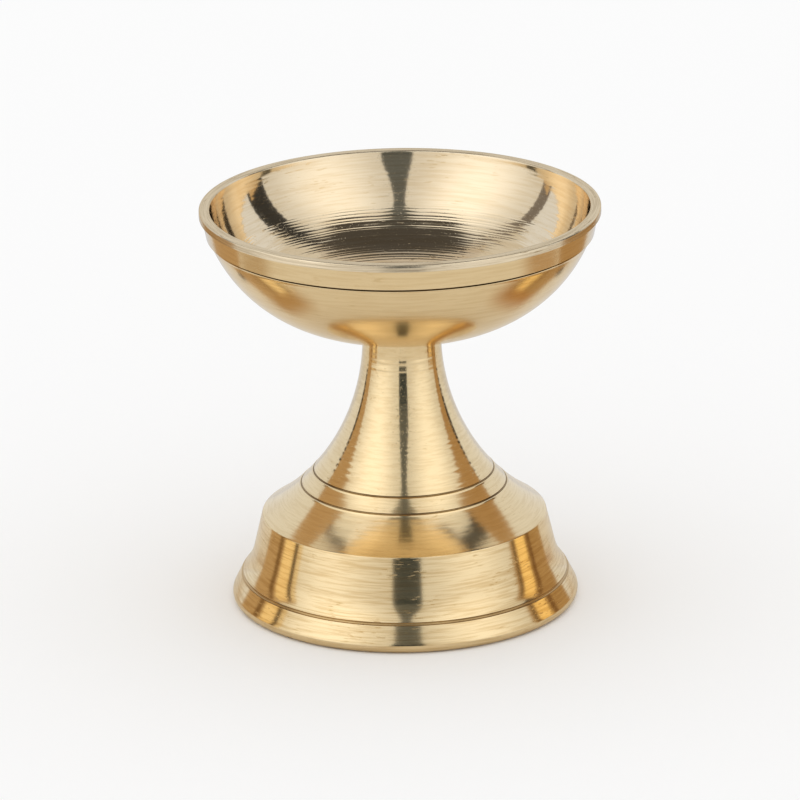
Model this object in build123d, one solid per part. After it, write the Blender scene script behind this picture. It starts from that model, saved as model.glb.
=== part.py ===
from build123d import *
import math
import os

# Butter lamp: a turned brass bowl drawn down onto a hollow turned stand.
# A stud in the bowl's spigot passes through the stand's neck to a washer and a nut inside the foot.
# Millimetres, +Z up, origin on the floor at the centre of the foot ring.

# Threaded fixing, M5
THREAD_RADIUS = 2.5
THREAD_CLEARANCE = 0.05     # nut on the stud, both taken as plain cylinders
BORE_CLEARANCE = 0.15       # stud through the neck and the washer
SOLDER_GAP = 0.02           # stud in the bowl's spigot
STUD_ENGAGEMENT = 4.5       # stud inside the spigot
STUD_TAIL = 3.0             # stud showing below the nut
STUD_END_CHAMFER = 0.5
WASHER_WIDTH = 2.35
WASHER_THICKNESS = 1.0
NUT_WALL = 1.5              # thread to flat
NUT_HEIGHT = 4.0
NUT_CHAMFER_ANGLE = 30.0
NUT_COUNTERSINK = 0.3
HEX_SIDES = 6

# Spigot under the bowl and its socket in the neck
SPIGOT_WALL = 2.0
SPIGOT_LENGTH = 5.5
SPIGOT_CLEARANCE = 0.05
SOCKET_END_CLEARANCE = 0.2

# Stand, outside
NECK_WALL = 2.4             # around the socket
COVE_HEIGHT = 32.9
SHOULDER_RADIUS = 25.3
SHOULDER_EDGE_ROUND = 0.3
DRUM_HEIGHT = 6.9
DRUM_TAPER = 1.65
FLARE_HEIGHT = 4.0
FLARE_WIDTH = 2.15
FLANGE_HEIGHT = 5.0
FLANGE_TAPER = 2.55         # to where the flange's slope would meet the floor
FOOT_EDGE_ROUND = 1.3

# Stand, hollow
STAND_WALL = 2.4
FOOT_RING_WIDTH = 4.25      # from the flange's slope on the floor to the mouth of the hollow
SPANNER_ROOM = 1.4          # around the nut or the washer, whichever is wider

# Engraved lines, cut with a round-nosed tool
LINE_TOOL_RADIUS = 0.22
LOWER_LINE_RISE = 5.6       # above the shoulder
LINE_SPACING = 2.4

# Bowl
RIM_RADIUS = 35.3
BOWL_HEIGHT = 23.8          # seat to lip
START_ANGLE = 15.0          # slope of the underside where it leaves the neck
BELLY_RADIUS = 18.25
BELLY_RISE = 3.6            # above the seat
BAND_HEIGHT = 3.6           # engraved line to lip
BAND_LEAN = 0.7
BAND_STEP = 0.4             # band proud of the bowl below it
LIP_HEIGHT = 1.25
LIP_WIDTH = 1.85
LIP_OVERHANG = 0.5          # lip proud of the band
LIP_EDGE_ROUND = 0.3
BOWL_WALL = 2.0
BOWL_FLOOR = 3.0
WICK_HOLE_RADIUS = 1.25
WICK_HOLE_DEPTH = 2.5

# Radii that several pieces share
BORE_RADIUS = THREAD_RADIUS + BORE_CLEARANCE
SPIGOT_RADIUS = THREAD_RADIUS + SPIGOT_WALL
SOCKET_RADIUS = SPIGOT_RADIUS + SPIGOT_CLEARANCE
NECK_RADIUS = SOCKET_RADIUS + NECK_WALL
WASHER_RADIUS = BORE_RADIUS + WASHER_WIDTH
NUT_FLAT_RADIUS = THREAD_RADIUS + NUT_WALL
NUT_CORNER_RADIUS = NUT_FLAT_RADIUS / math.cos(math.pi / HEX_SIDES)
CEILING_RADIUS = max(WASHER_RADIUS, NUT_CORNER_RADIUS) + SPANNER_ROOM

# The cove is one arc, upright at the neck
SHOULDER_HEIGHT = FLANGE_HEIGHT + FLARE_HEIGHT + DRUM_HEIGHT
SEAT_HEIGHT = SHOULDER_HEIGHT + COVE_HEIGHT
COVE_REACH = SHOULDER_RADIUS - NECK_RADIUS
COVE_RADIUS = (COVE_REACH**2 + COVE_HEIGHT**2) / (2 * COVE_REACH)
COVE_CENTRE_RADIUS = NECK_RADIUS + COVE_RADIUS


def cove_radius_at(height):
    """Radius of the stand's cove at a height."""
    return COVE_CENTRE_RADIUS - math.sqrt(COVE_RADIUS**2 - (SEAT_HEIGHT - height) ** 2)


def hollow_height_at(radius):
    """Height at which the hollow, one wall inside the cove, has a radius."""
    return SEAT_HEIGHT - math.sqrt((COVE_RADIUS + STAND_WALL) ** 2 - (COVE_CENTRE_RADIUS - radius) ** 2)


# Heights that several pieces share
CEILING_HEIGHT = hollow_height_at(CEILING_RADIUS)
WASHER_BOTTOM = CEILING_HEIGHT - WASHER_THICKNESS
NUT_BOTTOM = WASHER_BOTTOM - NUT_HEIGHT
SPIGOT_END = SEAT_HEIGHT - SPIGOT_LENGTH
STUD_TOP = SPIGOT_END + STUD_ENGAGEMENT
STUD_BOTTOM = NUT_BOTTOM - STUD_TAIL


def round_corner(profile, point, radius):
    """Round the corner of a profile that lies nearest to a point."""
    fillet(profile.vertices().sort_by_distance(point)[0], radius)


def engraved_line(radius, height):
    """Ring of metal that the round-nosed tool takes away."""
    return Pos(0, 0, height) * Torus(radius, LINE_TOOL_RADIUS)


def stand():
    """Hollow turned stand: foot flange, drum, cove and neck, with the socket for the bowl's spigot."""
    seat = (NECK_RADIUS, SEAT_HEIGHT)
    shoulder = (SHOULDER_RADIUS, SHOULDER_HEIGHT)
    drum_base = (SHOULDER_RADIUS + DRUM_TAPER, SHOULDER_HEIGHT - DRUM_HEIGHT)
    flange_top = (drum_base[0] + FLARE_WIDTH, FLANGE_HEIGHT)
    foot_corner = (flange_top[0] + FLANGE_TAPER, 0)
    foot_bore = (foot_corner[0] - FOOT_RING_WIDTH, 0)
    inner_radius = SHOULDER_RADIUS - STAND_WALL
    inner_shoulder = (inner_radius, hollow_height_at(inner_radius))
    ceiling = (CEILING_RADIUS, CEILING_HEIGHT)
    socket_end = SPIGOT_END - SOCKET_END_CLEARANCE
    ceiling_drop = (SEAT_HEIGHT - CEILING_HEIGHT, CEILING_RADIUS - COVE_CENTRE_RADIUS)
    with BuildSketch(Plane.XZ) as profile:
        with BuildLine():
            TangentArc(seat, shoulder, tangent=(0, -1))
            Line(shoulder, drum_base)
            TangentArc(drum_base, flange_top, tangent=(DRUM_TAPER, -DRUM_HEIGHT))
            Polyline(flange_top, foot_corner, foot_bore, inner_shoulder)
            TangentArc(ceiling, inner_shoulder, tangent=ceiling_drop)
            Polyline(
                ceiling,
                (BORE_RADIUS, CEILING_HEIGHT),
                (BORE_RADIUS, socket_end),
                (SOCKET_RADIUS, socket_end),
                (SOCKET_RADIUS, SEAT_HEIGHT),
                seat,
            )
        make_face()
        round_corner(profile, foot_corner, FOOT_EDGE_ROUND)
        round_corner(profile, shoulder, SHOULDER_EDGE_ROUND)
    turned = revolve(profile.sketch, Axis.Z)
    turned -= engraved_line(*flange_top)
    for line in range(2):
        height = SHOULDER_HEIGHT + LOWER_LINE_RISE + line * LINE_SPACING
        turned -= engraved_line(cove_radius_at(height), height)
    return turned


def bowl():
    """Turned bowl with a banded rim, a wick hole in its floor and a spigot under its seat."""
    lip_top = SEAT_HEIGHT + BOWL_HEIGHT
    band_bottom = lip_top - BAND_HEIGHT - LIP_HEIGHT
    floor_top = SEAT_HEIGHT + BOWL_FLOOR
    wick_end = floor_top - WICK_HOLE_DEPTH
    stud_hole = THREAD_RADIUS + SOLDER_GAP
    band_top_radius = RIM_RADIUS - LIP_OVERHANG
    band_radius = band_top_radius - BAND_LEAN
    wall_top = (band_radius - BAND_STEP, band_bottom)
    lip_inner = (RIM_RADIUS - LIP_WIDTH, lip_top)
    lip_outer = (RIM_RADIUS, lip_top)
    seat = (NECK_RADIUS, SEAT_HEIGHT)
    belly = (BELLY_RADIUS, SEAT_HEIGHT + BELLY_RISE)
    start = Vector(1, 0).rotate(Axis.Z, START_ANGLE)
    with BuildSketch(Plane.XZ) as profile:
        with BuildLine():
            underside = TangentArc(seat, belly, tangent=start)
            leaving = underside % 1
            TangentArc(belly, wall_top, tangent=leaving)
            Polyline(
                wall_top,
                (band_radius, band_bottom),
                (band_top_radius, lip_top - LIP_HEIGHT),
                (RIM_RADIUS, lip_top - LIP_HEIGHT),
                lip_outer,
                lip_inner,
            )
            inner_belly = Vector(belly) + leaving.rotate(Axis.Z, 90) * BOWL_WALL
            floor = TangentArc((WICK_HOLE_RADIUS, floor_top), inner_belly, tangent=(1, 0))
            TangentArc(inner_belly, lip_inner, tangent=floor % 1)
            Polyline(
                (WICK_HOLE_RADIUS, floor_top),
                (WICK_HOLE_RADIUS, wick_end),
                (0, wick_end),
                (0, STUD_TOP),
                (stud_hole, STUD_TOP),
                (stud_hole, SPIGOT_END),
                (SPIGOT_RADIUS, SPIGOT_END),
                (SPIGOT_RADIUS, SEAT_HEIGHT),
                seat,
            )
        make_face()
        round_corner(profile, lip_outer, LIP_EDGE_ROUND)
        round_corner(profile, lip_inner, LIP_EDGE_ROUND)
    return revolve(profile.sketch, Axis.Z) - engraved_line(*wall_top)


def stud():
    """Threaded stud, soldered into the bowl's spigot."""
    rod = Cylinder(THREAD_RADIUS, STUD_TOP - STUD_BOTTOM, align=(Align.CENTER, Align.CENTER, Align.MIN))
    rod = chamfer(rod.edges().filter_by(GeomType.CIRCLE), STUD_END_CHAMFER)
    return Pos(0, 0, STUD_BOTTOM) * rod


def washer():
    """Flat washer against the ceiling of the hollow."""
    disc = extrude(Circle(WASHER_RADIUS) - Circle(BORE_RADIUS), WASHER_THICKNESS)
    return Pos(0, 0, WASHER_BOTTOM) * disc


def hex_nut():
    """Hexagon nut with chamfered corners and a countersunk thread."""
    thread = THREAD_RADIUS + THREAD_CLEARANCE
    corner_drop = (NUT_CORNER_RADIUS - NUT_FLAT_RADIUS) * math.tan(math.radians(NUT_CHAMFER_ANGLE))
    with BuildSketch(Plane.XZ) as profile:
        with BuildLine():
            Polyline(
                (thread, NUT_COUNTERSINK),
                (thread + NUT_COUNTERSINK, 0),
                (NUT_FLAT_RADIUS, 0),
                (NUT_CORNER_RADIUS, corner_drop),
                (NUT_CORNER_RADIUS, NUT_HEIGHT - corner_drop),
                (NUT_FLAT_RADIUS, NUT_HEIGHT),
                (thread + NUT_COUNTERSINK, NUT_HEIGHT),
                (thread, NUT_HEIGHT - NUT_COUNTERSINK),
                close=True,
            )
        make_face()
    prism = extrude(RegularPolygon(NUT_CORNER_RADIUS, HEX_SIDES), NUT_HEIGHT)
    return Pos(0, 0, NUT_BOTTOM) * (prism & revolve(profile.sketch, Axis.Z))


os.makedirs("parts", exist_ok=True)
for make in (stand, bowl, stud, washer, hex_nut):
    export_step(make(), f"parts/{make.__name__}.step")
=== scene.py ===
"""Butter lamp in turned brass: its dressed pieces, and the floor, light and camera around them.

Metres, +Z up along the turning axis, origin on the floor at the centre of the foot ring.
"""

import logging
import math
import random
from dataclasses import dataclass, field
from enum import Enum, IntEnum
from typing import Callable, ClassVar, Sequence

import bpy
from mathutils import Matrix, Vector


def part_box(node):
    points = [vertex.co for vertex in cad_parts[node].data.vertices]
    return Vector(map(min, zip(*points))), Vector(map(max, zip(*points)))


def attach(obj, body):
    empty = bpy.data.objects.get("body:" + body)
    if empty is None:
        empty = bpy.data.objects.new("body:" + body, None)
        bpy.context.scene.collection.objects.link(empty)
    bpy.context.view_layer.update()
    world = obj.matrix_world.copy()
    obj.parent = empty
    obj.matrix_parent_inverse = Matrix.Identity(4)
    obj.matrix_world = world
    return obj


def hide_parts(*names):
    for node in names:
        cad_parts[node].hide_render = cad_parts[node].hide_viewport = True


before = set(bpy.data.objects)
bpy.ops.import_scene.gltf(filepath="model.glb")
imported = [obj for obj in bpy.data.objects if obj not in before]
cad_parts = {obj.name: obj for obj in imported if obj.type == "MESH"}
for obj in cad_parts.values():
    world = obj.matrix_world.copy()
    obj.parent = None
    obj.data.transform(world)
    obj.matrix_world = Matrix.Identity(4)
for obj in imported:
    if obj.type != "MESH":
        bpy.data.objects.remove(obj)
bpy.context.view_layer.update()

log = logging.getLogger("butter_lamp")

MM = 0.001
SHARP_ANGLE = math.radians(32)
# Share by which a size may differ once a vector, which keeps short floats, has held it
ROUNDING = 1e-6
# Radius below which a point counts as on the axis, so that nothing is divided by zero
AXIS_GUARD = 0.01 * MM

Point = tuple[float, float]
Range = tuple[float, float]
Colour = tuple[float, float, float]
Station = tuple[float, float, float]
Socket = bpy.types.NodeSocket
Ring = tuple[Socket, ...]

WHITE: Colour = (1.0, 1.0, 1.0)


class Grain(Enum):
    """How the tool or the mould left a surface."""

    TURNED = "turned"
    CAST = "cast"


class StandZone(IntEnum):
    """Stretches of the stand's outline that have a finish of their own."""

    NECK = 0
    SHOULDER = 1
    DRUM = 2
    LINE = 3
    GROOVE = 4
    CAST = 5
    CUT = 6


class BowlZone(IntEnum):
    """Stretches of the bowl's outline that have a finish of their own."""

    INSIDE = 0
    LIP = 1
    OUTSIDE = 2
    LINE = 3
    CUT = 4
    DISH = 5


@dataclass(frozen=True)
class Ripple:
    """Slow waves that the tool leaves along an outline: a main one, and slighter ones to make it uneven."""

    depth: float
    pitch: float
    seed: int
    main_share: float = 0.6
    side_share: float = 0.15
    side_waves: int = 4
    side_pitch: Range = (0.7, 2.3)

    def waves(self) -> list[tuple[float, float, float]]:
        """Draw the waves.

        Returns:
            Length, phase and share of each wave.
        """
        draw = random.Random(self.seed)
        waves = [(self.pitch, draw.uniform(0, math.tau), self.main_share)]
        for _ in range(self.side_waves):
            length = self.pitch * draw.uniform(*self.side_pitch)
            waves.append((length, draw.uniform(0, math.tau), self.side_share))
        return waves


class Outline:
    """Half outline of a turned piece in (radius, height), drawn with the metal on its right."""

    # Where across its width a bead is highest, and how high, as shares of its width
    BEAD_CREST: ClassVar[float] = 0.4
    BEAD_RISE: ClassVar[float] = 0.2

    def __init__(self, start: Point) -> None:
        """Put the pen down.

        Args:
            start: First point of the outline.
        """
        self.points: list[Vector] = [Vector(start)]
        self.zones: list[int] = []

    def _add(self, point: Vector, zone: int) -> None:
        """Draw one short run to a point."""
        self.points.append(point)
        self.zones.append(zone)

    def line(self, end: Point, zone: int, step: float = 0.0) -> None:
        """Draw a straight stretch.

        Args:
            end: Where the stretch ends.
            zone: Number of the finish it takes.
            step: Longest run between points, or 0 for one run.
        """
        start, goal = self.points[-1], Vector(end)
        count = max(1, math.ceil((goal - start).length / step)) if step else 1
        for number in range(1, count + 1):
            self._add(start.lerp(goal, number / count), zone)

    def arc(self, end: Point, heading: Vector, zone: int, step: float) -> Vector:
        """Draw an arc that leaves the last point along a heading.

        Args:
            end: Where the arc ends.
            heading: Direction in which it sets off.
            zone: Number of the finish it takes.
            step: Longest run between points.

        Returns:
            The direction in which the arc arrives.
        """
        start = self.points[-1]
        chord = Vector(end) - start
        ahead = heading.normalized()
        side = Vector((-ahead.y, ahead.x))
        radius = chord.length_squared / (2 * chord.dot(side))
        sweep = 2 * math.atan2(chord.dot(side), chord.dot(ahead))
        centre = start + side * radius
        count = max(2, math.ceil(abs(radius * sweep) / step))
        for number in range(1, count + 1):
            self._add(centre + Matrix.Rotation(sweep * number / count, 2) @ (start - centre), zone)
        return Matrix.Rotation(sweep, 2) @ ahead

    def _nearest(self, place: Point) -> int:
        """Number of the point that lies nearest to a place."""
        goal = Vector(place)
        return min(range(len(self.points)), key=lambda number: (self.points[number] - goal).length)

    def _walk(self, start: int, direction: int, length: float) -> tuple[Vector, int]:
        """Go along the outline from one of its points.

        Args:
            start: Number of the point to go from.
            direction: 1 to go on, -1 to go back.
            length: How far to go.

        Returns:
            The place reached, and the number of the next point past it.
        """
        here, gone = start, 0.0
        while True:
            run = self.points[here + direction] - self.points[here]
            if gone + run.length >= length:
                return self.points[here] + run * ((length - gone) / run.length), here + direction
            gone += run.length
            here += direction

    def _splice(self, first: int, middle: Sequence[Vector], last: int, zone: int) -> None:
        """Put a new stretch in place of the points between two kept ones.

        Args:
            first: Number of the last point kept before it.
            middle: Points of the new stretch.
            last: Number of the first point kept after it.
            zone: Number of the finish of the new stretch.
        """
        lead, tail = self.zones[first], self.zones[last - 1]
        self.zones[first:last] = [lead] + [zone] * (len(middle) - 1) + [tail]
        self.points[first + 1 : last] = list(middle)

    def round_corner(self, corner: Point, radius: float, zone: int, count: int = 5) -> None:
        """Round a corner of the outline.

        Args:
            corner: Place of the corner.
            radius: Radius of the round.
            zone: Number of the finish it takes.
            count: Runs in the round.
        """
        number = self._nearest(corner)
        before = (self.points[number] - self.points[number - 1]).normalized()
        after = (self.points[number + 1] - self.points[number]).normalized()
        reach = radius * math.tan(before.angle(after) / 2)
        start, first = self._walk(number, -1, reach)
        end, last = self._walk(number, 1, reach)
        sweep = Outline(start)
        sweep.arc(end, before, zone, (end - start).length / count)
        self._splice(first, sweep.points, last, zone)

    def engrave(self, place: Point, radius: float, zone: int, bead: float = 0.0, count: int = 8) -> None:
        """Cut a line into the outline with a round-nosed tool, which throws up a bead on its far side.

        Args:
            place: Middle of the line, on the outline.
            radius: Radius of the tool's nose.
            zone: Number of the finish the cut takes.
            bead: Width of the bead.
            count: Runs in the cut.
        """
        number = self._nearest(place)
        centre = self.points[number]
        start, first = self._walk(number, -1, radius)
        end, last = self._walk(number, 1, radius)
        foot, after = self._walk(number, 1, radius + bead)
        spoke, goal = start - centre, end - centre
        sweep = (math.atan2(goal.y, goal.x) - math.atan2(spoke.y, spoke.x)) % math.tau
        cut = [centre + Matrix.Rotation(sweep * run / count, 2) @ spoke for run in range(count + 1)]
        if bead:
            ahead = (foot - end).normalized()
            rise = Vector((-ahead.y, ahead.x)) * (bead * self.BEAD_RISE)
            crest = end.lerp(foot, self.BEAD_CREST) + rise
            cut += [crest, foot]
        self._splice(first, cut, after if bead else last, zone)
        if bead:
            number = self._nearest(end)
            self.zones[number : number + 2] = [self.zones[number + 2]] * 2

    def close(self) -> None:
        """Let the last run end in the first point."""
        self.points.pop()

    def refinish(self, old: int, new: int, top: float) -> None:
        """Give the part of a finish that lies below a height another finish.

        Args:
            old: Number of the finish it had.
            new: Number of the finish it takes.
            top: Height below which it changes.
        """
        for number, zone in enumerate(self.zones):
            if zone == old and self.points[number].y < top:
                self.zones[number] = new

    def ripple(self, zone: int, ripple: Ripple) -> None:
        """Leave the tool's slow waves on every stretch of one finish.

        Args:
            zone: Number of the finish.
            ripple: The waves.
        """
        waves = ripple.waves()
        moved: dict[int, Vector] = {}
        gone = 0.0
        for number in range(1, len(self.points) - 1):
            run = self.points[number] - self.points[number - 1]
            gone += run.length
            if self.zones[number - 1] != zone or self.zones[number] != zone:
                continue
            ahead = (self.points[number + 1] - self.points[number - 1]).normalized()
            height = sum(share * math.sin(math.tau * gone / wave + phase) for wave, phase, share in waves)
            moved[number] = self.points[number] + Vector((-ahead.y, ahead.x)) * (height * ripple.depth)
        for number, point in moved.items():
            self.points[number] = point

    def turn(self, name: str, segments: int, finishes: Sequence[bpy.types.Material]) -> bpy.types.Object:
        """Turn the outline once round the axis.

        Args:
            name: Name of the piece.
            segments: Columns of faces round the piece.
            finishes: Materials by zone number.

        Returns:
            The turned piece.
        """
        closed = len(self.zones) == len(self.points)
        rings = self.points + self.points[:1] if closed else self.points
        lengths = [0.0]
        for before, after in zip(rings, rings[1:]):
            lengths.append(lengths[-1] + (after - before).length)

        def place(ring: Vector, column: int) -> Vector:
            """Turn an outline point to a column."""
            angle = math.tau * column / segments
            return Vector((ring.x * math.cos(angle), ring.x * math.sin(angle), ring.y))

        return Grid(segments, closed).build(name, rings, lengths, self.zones, place, finishes)


@dataclass(frozen=True)
class Grid:
    """Faces of a piece that goes once round the axis."""

    segments: int
    closed: bool

    def build(
        self,
        name: str,
        rings: Sequence[Vector],
        lengths: Sequence[float],
        zones: Sequence[int],
        place: Callable[[Vector, int], Vector],
        finishes: Sequence[bpy.types.Material],
    ) -> bpy.types.Object:
        """Make the mesh, ring by ring.

        Args:
            name: Name of the piece.
            rings: Outline points; in a closed outline the last is the first again.
            lengths: Length along the outline at each of them.
            zones: Finish of each run between them.
            place: Gives a ring's point in a column.
            finishes: Materials by zone number.

        Returns:
            The piece.
        """
        points: list[Vector] = []
        starts: list[int] = []
        kept = rings[:-1] if self.closed else rings
        for ring in kept:
            starts.append(len(points))
            columns = self.segments if ring.x > 0 else 1
            points += [place(ring, column) for column in range(columns)]
        faces: list[tuple[int, ...]] = []
        corners: list[tuple[tuple[int, int], ...]] = []
        numbers: list[int] = []
        for run, zone in enumerate(zones):
            upper, lower = run, (run + 1) % len(kept)
            for column in range(self.segments):
                loop = [(upper, run, column), (lower, run + 1, column)]
                loop += [(lower, run + 1, column + 1), (upper, run, column + 1)]
                face, corner = [], []
                for ring, row, turn in loop:
                    single = kept[ring].x <= 0
                    vertex = starts[ring] + (0 if single else turn % self.segments)
                    if vertex not in face:
                        face.append(vertex)
                        corner.append((row, turn))
                faces.append(tuple(face))
                corners.append(tuple(corner))
                numbers.append(int(zone))
        mesh = bpy.data.meshes.new(name)
        mesh.from_pydata(points, [], faces)
        for finish in finishes:
            mesh.materials.append(finish)
        mesh.polygons.foreach_set("material_index", numbers)
        layer = mesh.uv_layers.new(name="OFBake")
        for polygon, corner in zip(mesh.polygons, corners):
            for loop_number, (row, turn) in zip(polygon.loop_indices, corner):
                layer.data[loop_number].uv = (turn / self.segments, lengths[row] / lengths[-1])
        mesh.shade_smooth()
        mesh.set_sharp_from_angle(angle=SHARP_ANGLE)
        mesh.validate()
        piece = bpy.data.objects.new(name, mesh)
        bpy.context.scene.collection.objects.link(piece)
        return piece


class Bench:
    """Node tree of one material, with short ways to add nodes to it."""

    def __init__(self, name: str) -> None:
        """Start an empty metal.

        Args:
            name: Name of the material.
        """
        self.material = bpy.data.materials.new(name)
        self.material.use_nodes = True
        self.tree = self.material.node_tree
        self.shader = self.tree.nodes["Principled BSDF"]

    def _feed(self, socket: Socket, value: object) -> None:
        """Join another node's socket to this one, or set its value."""
        if isinstance(value, Socket):
            self.tree.links.new(value, socket)
        else:
            socket.default_value = value

    def join(self, value: Socket, socket: str) -> None:
        """Join a node's socket to one of the shader's."""
        self.tree.links.new(value, self.shader.inputs[socket])

    def node(
        self, kind: str, feeds: dict[str | int, object] | None = None, **settings: object
    ) -> bpy.types.Node:
        """Add a node.

        Args:
            kind: Node type, without its ShaderNode prefix.
            feeds: Values or sockets for its inputs.
            settings: Properties of the node.

        Returns:
            The node.
        """
        made = self.tree.nodes.new("ShaderNode" + kind)
        for setting, value in settings.items():
            setattr(made, setting, value)
        for socket, value in (feeds or {}).items():
            self._feed(made.inputs[socket], value)
        return made

    def math(self, operation: str, *values: object) -> Socket:
        """Work out a number from numbers."""
        return self.node("Math", dict(enumerate(values)), operation=operation).outputs[0]

    def ramp(self, value: Socket, span: Range, start: float = 0.0, end: float = 1.0) -> Socket:
        """Ease a number from start to end as value goes through a span.

        Args:
            value: Number to read.
            span: Where the change starts and where it ends.
            start: Result below the span.
            end: Result above the span.

        Returns:
            The eased number.
        """
        feeds = {"Value": value, "From Min": span[0], "From Max": span[1], "To Min": start, "To Max": end}
        return self.node("MapRange", feeds, interpolation_type="SMOOTHSTEP").outputs["Result"]

    def mix(self, share: object, first: object, second: object) -> Socket:
        """Mix two colours.

        Args:
            share: Share of the second colour.
            first: First colour.
            second: Second colour.

        Returns:
            The mixed colour.
        """
        made = self.node("Mix", data_type="RGBA")
        for socket, value in ((0, share), (6, first), (7, second)):
            self._feed(made.inputs[socket], (*value, 1.0) if isinstance(value, tuple) else value)
        return made.outputs[2]

    def noise(self, place: object, scale: float, detail: float, turn: object = 0.0) -> Socket:
        """Add noise in four directions.

        Args:
            place: Where to read it.
            scale: Waves in a metre.
            detail: Octaves of finer waves.
            turn: Fourth direction.

        Returns:
            The noise, from 0 to 1.
        """
        feeds = {"Vector": place, "W": turn, "Scale": scale, "Detail": detail}
        return self.node("TexNoise", feeds, noise_dimensions="4D").outputs[0]


@dataclass(frozen=True)
class ToolMarks:
    """How the marks on turned metal lie and show, alike on every finish.

    Turns say how often a mark changes on its way round the axis. Pitches are shares of the finish's
    ring pitch, scales are waves in a metre, and ranges are the noise over which a mark sets in.
    """

    wave_turns: float = 0.5
    wave_detail: float = 0.0
    streak_turns: float = 4.0
    streak_pitch: float = 0.7
    streak_detail: float = 2.0
    streak_range: Range = (0.4, 0.68)
    nick_turns: float = 14.0
    nick_pitch: float = 0.6
    nick_detail: float = 1.0
    nick_edge: float = 0.06
    cluster_scale: float = 140.0
    cluster_detail: float = 1.0
    cluster_range: Range = (0.45, 0.6)
    pit_scale: float = 2300.0
    pit_range: Range = (0.04, 0.2)
    stain_scale: float = 90.0
    stain_detail: float = 3.0
    stain_range: Range = (0.42, 0.75)
    scratch_stain: float = 0.6
    scratch_dullness: float = 0.15
    scratch_depth: float = 0.5
    feed_wander: float = 1.2
    brushing_turn: float = 0.25


@dataclass(frozen=True)
class SandMarks:
    """How the skin that the sand mould left lies and shows, in waves a metre and shares."""

    sand_scale: float = 1600.0
    sand_detail: float = 4.0
    patch_scale: float = 120.0
    patch_detail: float = 3.0
    patch_range: Range = (0.35, 0.7)
    patch_stain: float = 0.6
    patch_rise: float = 2.0


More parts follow.
